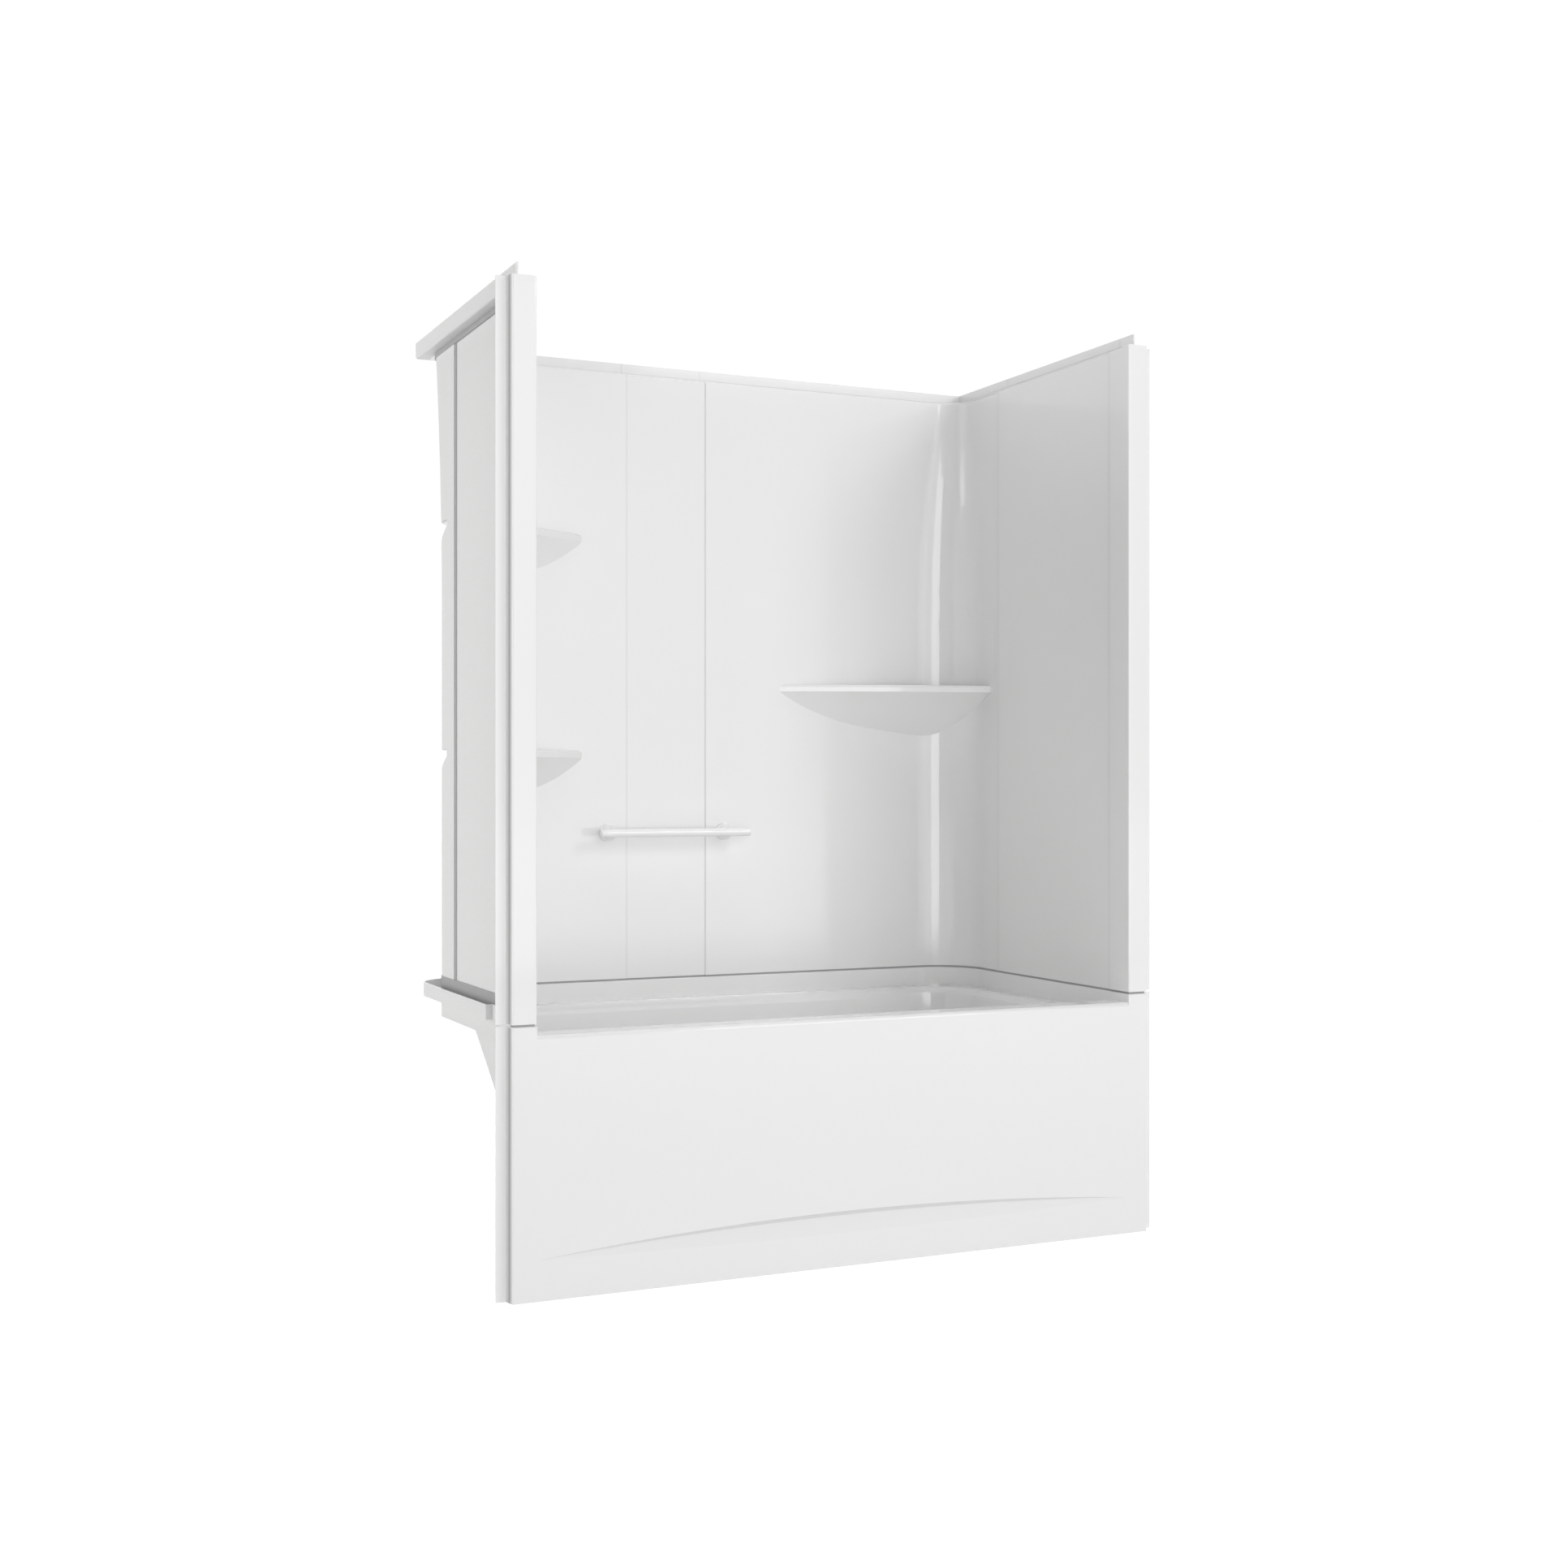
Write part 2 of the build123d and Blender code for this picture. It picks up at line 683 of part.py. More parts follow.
# End panels: one folded sheet each, from the nailing flange round the column to the end wall
end_plan = end_panel_plan()
with BuildPart() as right_end_panel:
    add(slab(end_plan, panel_bottom, column_height))
    column_cap = strip_plan(
        opening_half + skin / 2, column_outer_x - skin / 2, front_y + skin / 2, flange_back_y
    )
    add(slab(column_cap, panel_top - skin, panel_top))
    field_front_y = front_y + column_return + wall_step
    field_plan = strip_plan(
        end_wall_x + skin - backing_overlap,
        end_wall_x + skin + backing,
        field_front_y,
        corner_tongue_y - seal_width,
    )
    add(slab(field_plan, field_bottom, field_top))
    rail_seat = strip_plan(
        opening_half - overrun,
        column_outer_x - skin,
        rail_front_y,
        end_seam_y + overrun,
    )
    add(slab(rail_seat, panel_top, column_height + overrun), mode=Mode.SUBTRACT)
right_end_panel.part.label = "right_end_panel"

with BuildPart() as left_end_panel:
    add(mirrored(right_end_panel.part))
left_end_panel.part.label = "left_end_panel"


# Corner panels, with one long shelf at the drain end and two at the backrest end
with BuildPart() as right_corner_panel:
    add(corner_panel(strip_right_x, (right_shelf_height,), right_shelf_reach))
right_corner_panel.part.label = "right_corner_panel"

with BuildPart() as left_corner_panel:
    add(mirrored(corner_panel(-strip_left_x, left_shelf_heights, left_shelf_reach)))
left_corner_panel.part.label = "left_corner_panel"


# Middle strip of the back wall, tucked behind both corner panels
tongue_left_x = strip_left_x - lap_width
tongue_right_x = strip_right_x + lap_width
with BuildPart() as centre_back_panel:
    strip_skin = strip_plan(tongue_left_x, tongue_right_x, strip_wall_y, strip_wall_y + skin)
    add(slab(strip_skin, panel_bottom, panel_top))
    strip_field = strip_plan(
        tongue_left_x, tongue_right_x, strip_wall_y + skin, strip_wall_y + skin + backing
    )
    add(slab(strip_field, field_bottom, field_top))
centre_back_panel.part.label = "centre_back_panel"


# Gaskets: the lower one lies under the panels and stands up behind them, and the upper one
# lies behind their top edges under the rail
gasket_outer_x = upstand_outer_x - band_face_step
gasket_outer_y = upstand_outer_y - band_face_step
gasket_outer_plan = bay(
    gasket_outer_x, flange_back_y, gasket_outer_y, upstand_corner_radius - band_face_step
)
gasket_room_plan = bay(
    end_wall_x + gasket_setback, front_y, back_wall_y + gasket_setback, corner_radius + gasket_setback
)
end_skin_room = strip_plan(
    -end_wall_x - skin, end_wall_x + skin, front_y, corner_tongue_y + lap_clearance
)
corner_skin_x = corner_wall_x + skin
corner_skin_y = back_wall_y + skin
strip_room = strip_plan(tongue_left_x, tongue_right_x, 0, strip_wall_y + skin)
strip_front = strip_plan(strip_left_x, strip_right_x, 0, strip_wall_y + gasket_setback)

with BuildPart() as wall_gasket:
    with BuildSketch(Plane.XY.offset(upstand_height)):
        add(gasket_outer_plan)
        for side in (-1, 1):
            add(
                strip_plan(
                    side * (opening_half + gasket_setback),
                    side * (column_outer_x - column_gasket_setback),
                    front_y + column_gasket_setback,
                    flange_back_y,
                )
            )
            add(
                strip_plan(
                    side * (opening_half + gasket_setback),
                    side * gasket_outer_x,
                    front_y + column_gasket_setback,
                    front_y + column_return,
                )
            )
        add(gasket_room_plan, mode=Mode.SUBTRACT)
        add(strip_front, mode=Mode.SUBTRACT)
    extrude(amount=gasket_height)
    with BuildSketch(Plane.XY.offset(panel_bottom)):
        add(gasket_outer_plan)
        add(end_skin_room, mode=Mode.SUBTRACT)
        add(
            bay(corner_skin_x, corner_tongue_y, corner_skin_y, corner_radius + skin),
            mode=Mode.SUBTRACT,
        )
        add(strip_room, mode=Mode.SUBTRACT)
        column_room = strip_plan(
            -column_outer_x, column_outer_x, front_y, front_y + column_return + wall_step
        )
        add(column_room, mode=Mode.SUBTRACT)
    extrude(amount=bottom_band_height)
wall_gasket.part.label = "wall_gasket"

top_gasket_plan = bay(gasket_outer_x, flange_back_y, gasket_outer_y, corner_top_radius + skin)
with BuildPart() as rail_gasket:
    with BuildSketch(Plane.XY.offset(field_top)):
        add(top_gasket_plan)
        add(end_skin_room, mode=Mode.SUBTRACT)
        add(
            bay(corner_skin_x, corner_tongue_y, corner_skin_y, corner_top_radius + skin),
            mode=Mode.SUBTRACT,
        )
        add(strip_room, mode=Mode.SUBTRACT)
        add(column_room, mode=Mode.SUBTRACT)
    extrude(amount=top_band_height)
rail_gasket.part.label = "rail_gasket"


# Sealant beads that fill the grooves behind the four lap joints
seam_seals = {}
end_seal_plan = strip_plan(
    end_wall_x + skin, end_wall_x + skin + seal_depth, corner_tongue_y - seal_width, corner_tongue_y
)
back_seal_plans = {
    "right_back_seam_seal": strip_plan(
        tongue_right_x, tongue_right_x + seal_width, corner_skin_y, corner_skin_y + seal_depth
    ),
    "left_back_seam_seal": strip_plan(
        tongue_left_x - seal_width, tongue_left_x, corner_skin_y, corner_skin_y + seal_depth
    ),
}
with BuildPart() as right_end_seam_seal:
    add(slab(end_seal_plan, field_bottom, field_top))
seam_seals["right_end_seam_seal"] = right_end_seam_seal.part
with BuildPart() as left_end_seam_seal:
    add(mirrored(right_end_seam_seal.part))
seam_seals["left_end_seam_seal"] = left_end_seam_seal.part
for seal_name, seal_plan in back_seal_plans.items():
    with BuildPart() as back_seam_seal:
        add(slab(seal_plan, field_bottom, field_top))
    seam_seals[seal_name] = back_seam_seal.part
for seal_name, seal in seam_seals.items():
    seal.label = seal_name


# Towel bar: a round bar on two flared posts, each screwed on through the wall from behind
bar_y = back_wall_y - bar_standoff
bar_left_x = strip_centre_x - bar_length / 2
bar_right_x = strip_centre_x + bar_length / 2
post_places = {"left_bar_post": bar_left_x + post_inset, "right_bar_post": bar_right_x - post_inset}
wall_outer_y = back_wall_y + skin + backing

with BuildPart() as towel_bar:
    with BuildSketch(Plane.YZ.offset(bar_left_x)):
        with Locations((bar_y, bar_height)):
            Circle(bar_diameter / 2)
    extrude(amount=bar_length)
    fillet(towel_bar.edges().filter_by(GeomType.CIRCLE), bar_end_radius)
towel_bar.part.label = "towel_bar"

bar_posts = {}
for post_name, post_x in post_places.items():
    with BuildPart() as bar_post:
        with BuildSketch(Plane(origin=(post_x, 0, bar_height), x_dir=(1, 0, 0), z_dir=(0, 0, 1))):
            with BuildLine():
                neck_y = back_wall_y - post_base_thickness - post_flare_length
                flare_y = back_wall_y - post_base_thickness
                tip_y = bar_y + bar_diameter / 2 - post_cup_depth
                Polyline(
                    (post_base_diameter / 2, flare_y),
                    (post_base_diameter / 2, back_wall_y),
                    (0, back_wall_y),
                    (0, tip_y),
                    (post_neck_diameter / 2, tip_y),
                    (post_neck_diameter / 2, neck_y),
                )
                TangentArc(
                    (post_neck_diameter / 2, neck_y),
                    (post_base_diameter / 2, flare_y),
                    tangent=(0, 1),
                )
            make_face()
        revolve(axis=Axis((post_x, 0, bar_height), (0, 1, 0)))
        cup_radius = bar_diameter / 2 + post_cup_clearance
        with BuildSketch(Plane.YZ.offset(post_x)):
            with Locations((bar_y, bar_height)):
                Circle(cup_radius)
        extrude(amount=post_neck_diameter, both=True, mode=Mode.SUBTRACT)
        with BuildSketch(Plane.XZ.offset(-back_wall_y)):
            with Locations((post_x, bar_height)):
                Circle((bar_screw_diameter + bar_screw_clearance) / 2)
        extrude(amount=bar_screw_depth, mode=Mode.SUBTRACT)
    bar_post.part.label = post_name
    bar_posts[post_name] = bar_post.part

with BuildPart() as bar_backing_plates:
    for post_x in post_places.values():
        with BuildSketch(Plane.XZ.offset(-wall_outer_y)):
            with Locations((post_x, bar_height)):
                RectangleRounded(bar_plate_width, bar_plate_height, bar_plate_corner_radius)
                Circle((bar_screw_diameter + bar_screw_clearance) / 2, mode=Mode.SUBTRACT)
        extrude(amount=-bar_plate_thickness)
bar_backing_plates.part.label = "bar_backing_plates"

plate_outer_y = wall_outer_y + bar_plate_thickness
with BuildPart() as bar_screws:
    for post_x in post_places.values():
        with BuildSketch(Plane.XZ.offset(-plate_outer_y)):
            with Locations((post_x, bar_height)):
                RegularPolygon(bar_screw_head_diameter / 2, 6)
        extrude(amount=-bar_screw_head_height)
        with BuildSketch(Plane.XZ.offset(-plate_outer_y)):
            with Locations((post_x, bar_height)):
                Circle(bar_screw_diameter / 2)
        screw_reach = plate_outer_y - back_wall_y + bar_screw_depth - bar_screw_diameter / 2
        extrude(amount=screw_reach)
bar_screws.part.label = "bar_screws"

# Screw holes through the corner panels
with BuildPart() as bar_screw_holes:
    for post_x in post_places.values():
        with BuildSketch(Plane.XZ.offset(-back_wall_y + overrun)):
            with Locations((post_x, bar_height)):
                Circle((bar_screw_diameter + bar_screw_clearance) / 2)
        extrude(amount=-(skin + backing + 2 * overrun))
for panel in (left_corner_panel, right_corner_panel):
    label = panel.part.label
    panel.part = panel.part - bar_screw_holes.part
    panel.part.label = label


# Board bonded under the tub's floor, on moulded feet
floor_half_left = basin_half - (ledge_height - basin_underside) * tan(radians(backrest_angle))
board_left_x = -floor_half_left + board_left_margin
board_right_x = drain_x - board_drain_margin
board_room = 2 * (ledge_height - basin_underside) * tan(radians(basin_side_angle))
board_width = basin_far_y - basin_near_y - board_room - 2 * board_side_margin
board_centre_x = (board_left_x + board_right_x) / 2
board_length = board_right_x - board_left_x
with BuildPart() as base_board:
    with BuildSketch(Plane.XY.offset(basin_underside - board_thickness)):
        with Locations((board_centre_x, drain_y)):
            Rectangle(board_length, board_width)
    extrude(amount=board_thickness)
base_board.part.label = "base_board"

foot_height = basin_underside - board_thickness
foot_grid = GridLocations(
    (board_length - 2 * foot_margin) / (foot_columns - 1),
    (board_width - 2 * foot_margin) / (foot_rows - 1),
    foot_columns,
    foot_rows,
)
with BuildPart() as support_feet:
    for foot_place in foot_grid:
        foot_x = board_centre_x + foot_place.position.X
        foot_y = drain_y + foot_place.position.Y
        for flange_z in (foot_flange_height / 2, foot_height - foot_flange_height / 2):
            with Locations((foot_x, foot_y, flange_z)):
                Cylinder(foot_diameter / 2, foot_flange_height)
        with Locations((foot_x, foot_y, foot_height / 2)):
            Cylinder(foot_neck_diameter / 2, foot_height - foot_flange_height)
support_feet.part.label = "support_feet"


# Braces that stiffen the apron between the floor and the rim
with BuildPart() as apron_braces:
    brace_span = (brace_count - 1) * brace_spacing
    for place in range(brace_count):
        brace_x = place * brace_spacing - brace_span / 2
        brace_plan = strip_plan(
            brace_x - brace_width / 2,
            brace_x + brace_width / 2,
            front_y + apron_sheet,
            front_y + apron_sheet + brace_thickness,
        )
        add(slab(brace_plan, 0, rim_height - tub_sheet - apron_bar))
apron_braces.part.label = "apron_braces"


pieces = [
    tub_shell.part,
    base_board.part,
    support_feet.part,
    apron_braces.part,
    left_end_panel.part,
    right_end_panel.part,
    left_corner_panel.part,
    right_corner_panel.part,
    centre_back_panel.part,
    top_rail.part,
    wall_gasket.part,
    rail_gasket.part,
    towel_bar.part,
    bar_backing_plates.part,
    bar_screws.part,
]
pieces += seam_seals.values()
pieces += bar_posts.values()

os.makedirs("parts", exist_ok=True)
for piece in pieces:
    export_step(piece, f"parts/{piece.label}.step")
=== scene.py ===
"""Looks for the alcove tub and shower unit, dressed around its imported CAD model."""
import math

import bpy
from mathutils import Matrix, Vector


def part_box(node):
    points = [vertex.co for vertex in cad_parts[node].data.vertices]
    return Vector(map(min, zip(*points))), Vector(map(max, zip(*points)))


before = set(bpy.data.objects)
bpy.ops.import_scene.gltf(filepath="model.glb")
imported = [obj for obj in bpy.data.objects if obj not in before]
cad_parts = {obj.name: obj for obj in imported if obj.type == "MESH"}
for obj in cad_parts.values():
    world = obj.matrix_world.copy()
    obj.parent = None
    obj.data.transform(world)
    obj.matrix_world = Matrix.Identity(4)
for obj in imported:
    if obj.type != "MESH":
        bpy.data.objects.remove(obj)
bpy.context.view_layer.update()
scene = bpy.context.scene


# Camera: the photograph was taken from in front of the left column, level with the
# middle of the unit and turned 25 degrees to the right, with a normal lens.
photo_pixels = 1932
camera_data = bpy.data.cameras.new("photo_camera")
camera_data.sensor_width = 36
camera_data.lens = 44.776
camera_data.shift_y = 1 / photo_pixels
camera_data.clip_end = 100
camera = bpy.data.objects.new("photo_camera", camera_data)
camera.location = (-1.8469, -4.0190, 0.9994)
camera.rotation_euler = (math.radians(90), 0, math.radians(-25))
scene.collection.objects.link(camera)
scene.camera = camera


# Tub: one sheet of white acrylic, drawn into a mould and backed on its hidden side with
# sprayed glass fibre. The side that shows is glossy, and the hidden side is dull and fibrous.
class Flow:
    """A socket of a material's nodes. Sums and products on it add Math nodes."""

    def __init__(self, tree, socket=None):
        self.tree = tree
        self.socket = socket

    def node(self, kind, settings=(), sockets=(), output=0):
        """Adds a node with its settings, then the values or links of its sockets."""
        made = self.tree.nodes.new("ShaderNode" + kind)
        for name, value in dict(settings).items():
            if name == "stops":
                ramp = made.color_ramp.elements
                for number, (position, colour) in enumerate(value):
                    stop = ramp[number] if number < len(ramp) else ramp.new(position)
                    stop.position = position
                    stop.color = (*colour, 1)
            else:
                setattr(made, name, value)
        for name, value in dict(sockets).items():
            if isinstance(value, Flow):
                self.tree.links.new(value.socket, made.inputs[name])
            else:
                made.inputs[name].default_value = value
        return Flow(self.tree, made.outputs[output])

    def sum_of(self, operation, *terms):
        """A Math node of this operation on these terms."""
        return self.node("Math", {"operation": operation}, dict(enumerate(terms)))

    def __add__(self, other):
        return self.sum_of("ADD", self, other)

    def __sub__(self, other):
        return self.sum_of("SUBTRACT", self, other)

    def __rsub__(self, other):
        return self.sum_of("SUBTRACT", other, self)

    def __mul__(self, other):
        return self.sum_of("MULTIPLY", self, other)

    def __gt__(self, other):
        return self.sum_of("GREATER_THAN", self, other)

    def __lt__(self, other):
        return self.sum_of("LESS_THAN", self, other)

    __radd__ = __add__
    __rmul__ = __mul__

    def near(self, middle, reach):
        """1 where this value is at middle, and falls to 0 at reach from it."""
        away = self.sum_of("ABSOLUTE", self - middle)
        return self.sum_of("MAXIMUM", 1 - away * (1 / reach), 0.0)

    def blend(self, low, high):
        """A colour that goes from low to high as this value goes from 0 to 1."""
        low, high = ((*c, 1) if isinstance(c, tuple) else c for c in (low, high))
        return self.node("Mix", {"data_type": "RGBA"}, {0: self, 6: low, 7: high}, 2)

    def noise(self, place, width, detail=2.0):
        """Cloudy noise from 0 to 1 whose patches are about width metres wide."""
        sockets = {"Vector": place, "Scale": 1 / width, "Detail": detail}
        return self.node("TexNoise", {"noise_dimensions": "3D"}, sockets)

    def bump(self, height, depth):
        """A bumped normal for a height of 0 to 1 that stands depth metres proud."""
        return self.node("Bump", {}, {"Height": height, "Distance": depth, "Strength": 1.0})


def new_finish(name):
    """A material with one shader, and a Flow to start its nodes from."""
    material = bpy.data.materials.new(name)
    material.use_nodes = True
    shader = material.node_tree.nodes["Principled BSDF"]
    return material, shader, Flow(material.node_tree)


def feed(shader, **sockets):
    """Sets or links sockets of the shader, named with underscores for spaces."""
    for name, value in sockets.items():
        socket = shader.inputs[name.replace("_", " ")]
        if isinstance(value, Flow):
            value.tree.links.new(value.socket, socket)
        else:
            socket.default_value = value


def dress(material, *nodes):
    """Gives the whole of each CAD node one material."""
    for name in nodes:
        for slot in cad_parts[name].material_slots:
            slot.material = material


black = (0.0, 0.0, 0.0)
acrylic_white = (0.90, 0.90, 0.897)
acrylic_clouded = tuple(c * 0.985 for c in acrylic_white)
glass_fibre_grey = (0.76, 0.76, 0.75)
glass_fibre_pale = (0.82, 0.82, 0.815)
painted_column_side_shade = (0.36, 0.36, 0.36)
cloud_width = 0.35
strand_width = 0.006
swell_width = 0.22
swell_depth = 0.0001
weave_depth = 0.0006

acrylic, shader, flow = new_finish("gloss_acrylic")
place = flow.node("TexCoord", output="Object")
facing = flow.node("NewGeometry", output="Normal")
place_x, place_y, place_z = (flow.node("SeparateXYZ", {}, {0: place}, axis) for axis in "XYZ")
facing_x, facing_y, facing_z = (flow.node("SeparateXYZ", {}, {0: facing}, axis) for axis in "XYZ")
from_middle = flow.sum_of("ABSOLUTE", place_x)

# How far a face has to turn towards a side to count as facing it
squarely, partly, slightly = 0.8, 0.5, 0.3

# Fibre covers what turns away from the middle of the bay, and the undersides outside it
bay_middle_y = -0.2
bay_half_width = 0.69
column_back_y = -0.372
least_outwards = 0.02
panels_foot_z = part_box("centre_back_panel")[0][2]
above_tub = place_z > panels_foot_z
outwards = facing_x * place_x + facing_y * (place_y - bay_middle_y)
in_bay = (from_middle < bay_half_width) * above_tub
underside = (facing_z < -partly) * (1 - in_bay)
hidden_side = ((outwards > least_outwards) + underside) * (place_y > column_back_y)
hidden_side = flow.sum_of("MINIMUM", hidden_side, 1.0)

# Painted shade: the narrow outer side of each column is painted dark grey, standing in for the
# shade of the flange beside it
column_inner_x = 0.73
column_side_y = -0.3905
column_side_reach = 1 / 90
facing_end = facing_x * flow.sum_of("SIGN", place_x)
column_side_shade_mask = (facing_end > squarely) * (from_middle > column_inner_x)
column_side_shade_mask = column_side_shade_mask * place_y.near(column_side_y, column_side_reach)

# Painted shade: soft grey lines where the sheets lap or fold, and along the relief's upper edge,
# which faces down
left_lap_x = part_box("left_corner_panel")[1][0]
right_lap_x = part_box("right_corner_panel")[0][0]
end_lap_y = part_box("right_corner_panel")[0][1]
return_fold_y = -0.325
lap_reach = 0.0035
end_reach = 0.009
back_wall_y = 0.33
end_wall_x = 0.67
apron_face_y = -0.39
left_lap_shade = 0.09
right_lap_shade = 0.06
end_lap_shade = 0.05
return_fold_shade = 0.07
relief_shade = 0.2
on_back_wall = (facing_y < -squarely) * (place_y > back_wall_y) * above_tub
facing_sideways = flow.sum_of("ABSOLUTE", facing_x)
on_end_wall = (facing_sideways > squarely) * (from_middle > end_wall_x) * above_tub
relief_edge = (facing_z < -slightly) * (facing_y < -partly) * (place_y < apron_face_y)
left_lap = place_x.near(left_lap_x, lap_reach) * left_lap_shade
right_lap = place_x.near(right_lap_x, lap_reach) * right_lap_shade
end_lap = place_y.near(end_lap_y, end_reach) * end_lap_shade
return_fold = place_y.near(return_fold_y, end_reach) * return_fold_shade
seam_shade_lines = on_back_wall * (left_lap + right_lap) + on_end_wall * (end_lap + return_fold)
shade_lines = seam_shade_lines * (1 - hidden_side) + relief_edge * relief_shade

clouds = flow.noise(place, cloud_width)
strands = flow.noise(place, strand_width, detail=6.0)
sheet_colour = clouds.blend(acrylic_white, acrylic_clouded)
fibre_colour = strands.blend(glass_fibre_grey, glass_fibre_pale)
# Painted shade: the sheet's colour darkens towards black along these lines
shaded_sheet = shade_lines.blend(sheet_colour, black)
both_sides = hidden_side.blend(shaded_sheet, fibre_colour)
swell = flow.noise(place, swell_width, detail=1.0) * swell_depth
weave = strands * hidden_side * weave_depth
feed(
    shader,
    # Painted shade: the columns' outer sides take the dark grey here
    Base_Color=column_side_shade_mask.blend(both_sides, painted_column_side_shade),
    Roughness=0.08 + clouds * 0.03 + hidden_side * 0.46,
    Coat_Weight=0.3 - hidden_side * 0.3,
    Coat_Roughness=0.05,
    IOR=1.49,
    Normal=flow.bump(swell + weave, 1.0),
)
dress(acrylic, "tub_shell")


# Base board: a sheet of pressed wood strands, bonded under the tub's floor while the
# resin is wet, so that the floor doesn't give underfoot.
board_dark = (0.36, 0.24, 0.12)
board_pale = (0.66, 0.50, 0.30)
flakes_per_metre = 45.0
grain_width = 0.004
flake_depth = 0.0006
board, shader, flow = new_finish("strand_board")
place = flow.node("TexCoord", output="Object")
flake_sockets = {"Vector": place, "Scale": flakes_per_metre}
flakes = flow.node("TexVoronoi", {"feature": "F1"}, flake_sockets, "Color")
flake_shade = flow.node("SeparateColor", {}, {0: flakes}, 0)
grain = flow.noise(place, grain_width, detail=6.0)
feed(
    shader,
    Base_Color=(flake_shade * 0.7 + grain * 0.3).blend(board_dark, board_pale),
    Roughness=0.72 + grain * 0.15,
    Normal=flow.bump(flake_shade + grain, flake_depth),
)
dress(board, "base_board")


# Feet: six black moulded plugs with a flange at each end, glued to the board. They carry
# the water's weight to the floor.
foot_black = (0.022, 0.022, 0.024)
foot_worn = (0.05, 0.05, 0.052)
wear_width = 0.02
speckle_width = 0.0015
speckle_depth = 0.00008
foot, shader, flow = new_finish("black_moulding")
place = flow.node("TexCoord", output="Object")
speckle = flow.noise(place, speckle_width, detail=3.0)
feed(
    shader,
    Base_Color=flow.noise(place, wear_width).blend(foot_black, foot_worn),
    Roughness=0.48 + speckle * 0.12,
    Normal=flow.bump(speckle, speckle_depth),
)
dress(foot, "support_feet")


# Braces: three softwood boards behind the apron, laid in the resin from the floor to the
# rim, so that a knee can't push the thin apron in.
wood_pale = (0.70, 0.51, 0.30)
wood_dark = (0.47, 0.28, 0.13)
grain_stretch = (1.0, 1.0, 0.05)
rings_scale = 42.0
wander_width = 0.02
ring_depth = 0.0002
softwood, shader, flow = new_finish("planed_softwood")
place = flow.node("TexCoord", output="Object")
along = flow.node("VectorMath", {"operation": "MULTIPLY"}, {0: place, 1: grain_stretch})
wander = flow.noise(along, wander_width, detail=3.0)
rings = flow.node(
    "TexWave",
    {"wave_type": "BANDS", "bands_direction": "X"},
    {"Vector": along, "Scale": rings_scale, "Distortion": 5.0, "Detail": 2.0},
    "Fac",
)
feed(
    shader,
    Base_Color=(rings * 0.6 + wander * 0.4).blend(wood_pale, wood_dark),
    Roughness=0.6 + wander * 0.2,
    Normal=flow.bump(rings, ring_depth),
)
dress(softwood, "apron_braces")


# Gaskets: strips of grey rubber, one under and behind the panels' lower edges and one
# behind their upper edges. Both are pressed in place as the unit is put together.
rubber_grey = (0.36, 0.36, 0.365)
rubber_pale = (0.42, 0.42, 0.42)
dusting_width = 0.03
rubber_grain_width = 0.002
rubber_grain_depth = 0.00006
rubber, shader, flow = new_finish("grey_rubber")
place = flow.node("TexCoord", output="Object")
dusting = flow.noise(place, dusting_width, detail=4.0)
rubber_grain = flow.noise(place, rubber_grain_width, detail=3.0)
feed(
    shader,
    Base_Color=dusting.blend(rubber_grey, rubber_pale),
    Roughness=0.62 + dusting * 0.15,
    Normal=flow.bump(rubber_grain, rubber_grain_depth),
)
dress(rubber, "wall_gasket", "rail_gasket")


# Wall panels: the two folded end panels, the middle strip and the two corner panels are of
# the tub's acrylic sheet, with the same fibre on their backs.
dress(
    acrylic,
    "left_end_panel",
    "right_end_panel",
    "centre_back_panel",
    "left_corner_panel",
    "right_corner_panel",
)


# Seals: beads of grey sealant, run into the grooves behind the four lap joints and
# smoothed off with a wet finger.
bead_grey = (0.33, 0.33, 0.327)
bead_pale = (0.38, 0.38, 0.375)
ripple_width = 0.012
ripple_depth = 0.0006
bead, shader, flow = new_finish("smoothed_sealant")
place = flow.node("TexCoord", output="Object")
ripple = flow.noise(place, ripple_width)
feed(
    shader,
    Base_Color=ripple.blend(bead_grey, bead_pale),
    Roughness=0.38 + ripple * 0.12,
    Normal=flow.bump(ripple, ripple_depth),
)
dress(
    bead,
    "left_end_seam_seal",
    "right_end_seam_seal",
    "left_back_seam_seal",
    "right_back_seam_seal",
)


# Rail: one L of the same acrylic round the two ends and the back. Its ledge caps the
# panels' top edges, and its upright edge is nailed to the framing.
dress(acrylic, "top_rail")


# Towel bar: a round bar of solid white acrylic, polished, and bonded into the cupped ends
# of two flared posts of the same stuff.
bar_white = (0.95, 0.95, 0.947)
bar_milky = (0.93, 0.93, 0.925)
haze_width = 0.05
haze_depth = 0.00003
polished, shader, flow = new_finish("polished_acrylic")
place = flow.node("TexCoord", output="Object")
haze = flow.noise(place, haze_width)
feed(
    shader,
    Base_Color=haze.blend(bar_white, bar_milky),
    Roughness=0.07 + haze * 0.06,
    Coat_Weight=0.6,
    Coat_Roughness=0.04,
    Normal=flow.bump(haze, haze_depth),
)
dress(polished, "towel_bar", "left_bar_post", "right_bar_post")


# Plates and screws: two zinc-plated steel plates behind the wall, each with a screw that
# runs through the plate and the wall into a post. They spread the pull of the bar.
zinc_dark = (0.46, 0.47, 0.48)
zinc_pale = (0.66, 0.67, 0.69)
spangle_width = 0.006
spangle_depth = 0.00004
zinc, shader, flow = new_finish("zinc_plate")
place = flow.node("TexCoord", output="Object")
spangle = flow.noise(place, spangle_width, detail=3.0)
feed(
    shader,
    Base_Color=spangle.blend(zinc_dark, zinc_pale),
    Metallic=1.0,
    Roughness=0.28 + spangle * 0.18,
    Normal=flow.bump(spangle, spangle_depth),
)
dress(zinc, "bar_backing_plates", "bar_screws")


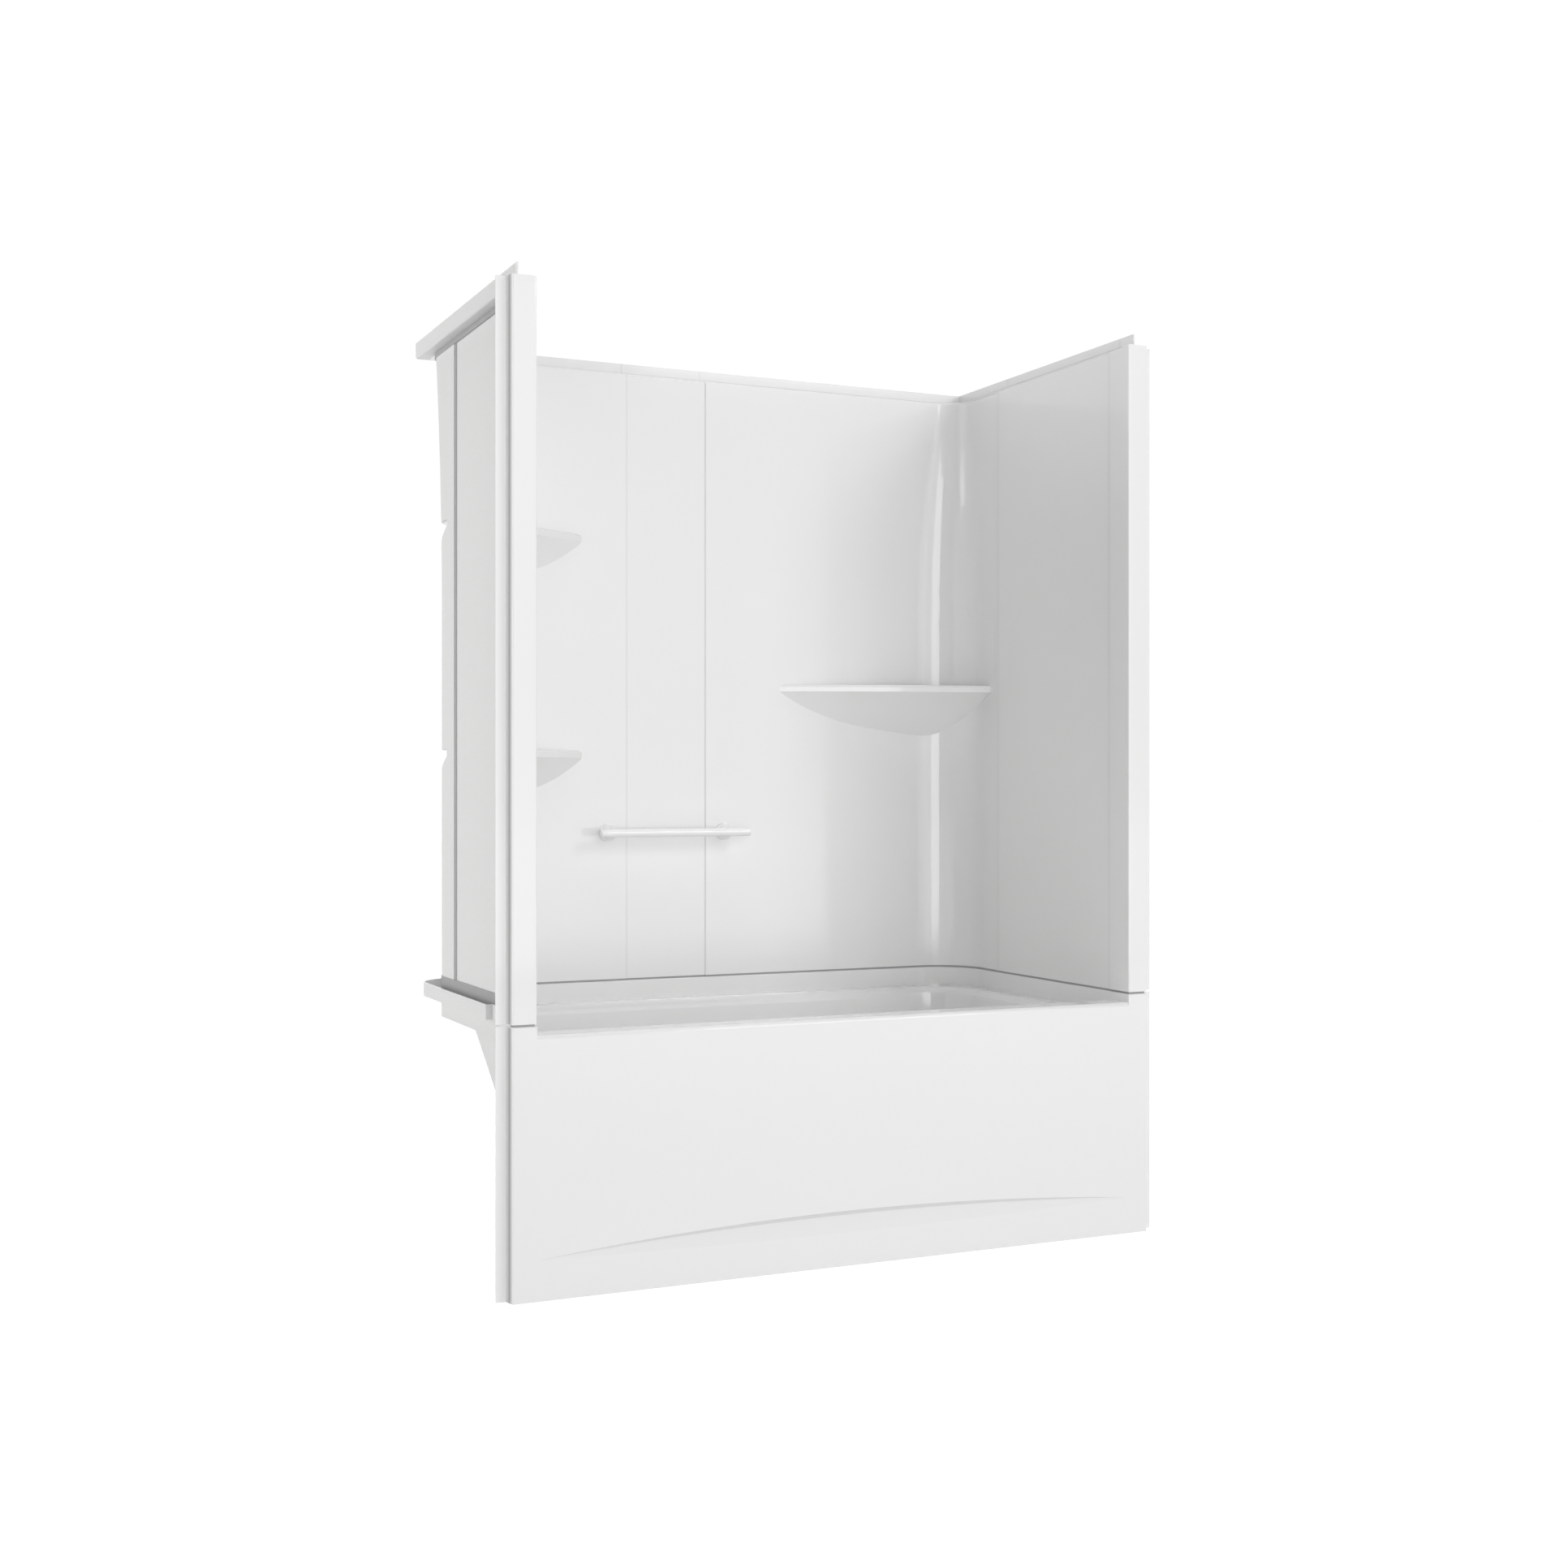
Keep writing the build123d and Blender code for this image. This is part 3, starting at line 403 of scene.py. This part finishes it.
# Floor: a wide pale studio floor just under the unit. It glows a little, so that it is
# white up to the horizon, and it neither colours nor shades the unit.
floor_reach = 40.0
floor_drop = 0.0005
floor_pale = (0.93, 0.93, 0.93)
floor_white = (0.95, 0.95, 0.95)
floor_patch_width = 1.2
corner_signs = ((-1, -1), (1, -1), (1, 1), (-1, 1))
floor_corners = [(x * floor_reach, y * floor_reach, -floor_drop) for x, y in corner_signs]
floor_mesh = bpy.data.meshes.new("studio_floor")
floor_mesh.from_pydata(floor_corners, [], [(0, 1, 2, 3)])
studio_floor = bpy.data.objects.new("studio_floor", floor_mesh)
scene.collection.objects.link(studio_floor)
studio_floor.visible_diffuse = False
studio_floor.visible_shadow = False
pale_floor, shader, flow = new_finish("pale_floor")
place = flow.node("TexCoord", output="Object")
feed(
    shader,
    Base_Color=flow.noise(place, floor_patch_width).blend(floor_pale, floor_white),
    Roughness=0.9,
    Specular_IOR_Level=0.0,
    Emission_Color=(1.0, 1.0, 1.0, 1.0),
    Emission_Strength=0.5,
)
floor_mesh.materials.append(pale_floor)


# Surround: the light of a white studio, bright low down behind the unit and overhead, and
# dim in front, where the camera stands. The camera itself sees it as plain white.
white = (1.0, 1.0, 1.0)
paper_bright = 1.02
ceiling_bright = 2.05
low_right_bright = 1.1
low_front_bright = 0.775
front_dim = 0.02
horizon_lift = 0.05
to_front = (0.0, -1.0, 0.0)
to_left = (-1.0, 0.0, 0.0)
surround = bpy.data.worlds.new("white_surround")
surround.use_nodes = True
sky = Flow(surround.node_tree)
ways = sky.node("TexCoord", output="Generated")
rise = sky.node("SeparateXYZ", {}, {0: ways}, 2) + horizon_lift
forwards = sky.node("VectorMath", {"operation": "DOT_PRODUCT"}, {0: ways, 1: to_front}, "Value")
leftwards = sky.node("VectorMath", {"operation": "DOT_PRODUCT"}, {0: ways, 1: to_left}, "Value")
in_front = sky.node("ValToRGB", {"stops": ((0.0, black), (0.3, white))}, {0: forwards})
at_left = sky.node("ValToRGB", {"stops": ((0.0, black), (0.1, white))}, {0: leftwards})


def level(*stops):
    """Brightness by the rise of a direction, from below the horizon to overhead."""
    greys = [(rise_there, (bright,) * 3) for rise_there, bright in stops]
    return sky.node("ValToRGB", {"stops": greys}, {0: rise})


paper = ((0.025, paper_bright), (0.43, paper_bright), (0.51, 0.0))
ceiling = ((0.89, 0.0), (0.98, ceiling_bright))
front_ceiling = ((0.89, front_dim), (0.98, ceiling_bright))
right_side = level((0.0, low_right_bright), *paper, *ceiling)
left_side = level((0.0, 0.0), *paper, *ceiling)
front_side = level((0.0, low_front_bright), (0.1, front_dim), *front_ceiling)
room = in_front.blend(at_left.blend(right_side, left_side), front_side)
seen_directly = sky.node("LightPath", output="Is Camera Ray")
backdrop = seen_directly.blend(room, (paper_bright,) * 3)
background = surround.node_tree.nodes["Background"]
surround.node_tree.links.new(backdrop.socket, background.inputs["Color"])
background.inputs["Strength"].default_value = 1.0
scene.world = surround


# Lights: a broad soft box in front of the unit with a narrower one before its left half,
# one high up at the right, and a large one level with the unit at the left.
def light_box(name, place, turn, wide, tall, strength):
    """A soft rectangular light with the same strength whatever its size."""
    light = bpy.data.lights.new(name, "AREA")
    light.shape = "RECTANGLE"
    light.size, light.size_y = wide, tall
    light.energy = strength * math.pi * wide * tall
    box = bpy.data.objects.new(name, light)
    box.location = place
    box.rotation_euler = turn
    scene.collection.objects.link(box)


facing_unit = (math.radians(90), 0, 0)
facing_right = (0, math.radians(-90), 0)
light_box("front_softbox", (1.0, -5.6, 1.775), facing_unit, wide=6.6, tall=3.3, strength=1.32)
light_box("front_left_softbox", (-1.2, -5.55, 1.775), facing_unit, wide=2.2, tall=3.3, strength=2.2)
light_box("high_right_softbox", (3.2, -5.6, 4.25), facing_unit, wide=2.2, tall=1.65, strength=7.8)
light_box("left_side_softbox", (-4.5, 1.4, 1.2), facing_right, wide=4.0, tall=4.0, strength=2.0)
scene.view_settings.view_transform = "Standard"
scene.view_settings.look = "None"
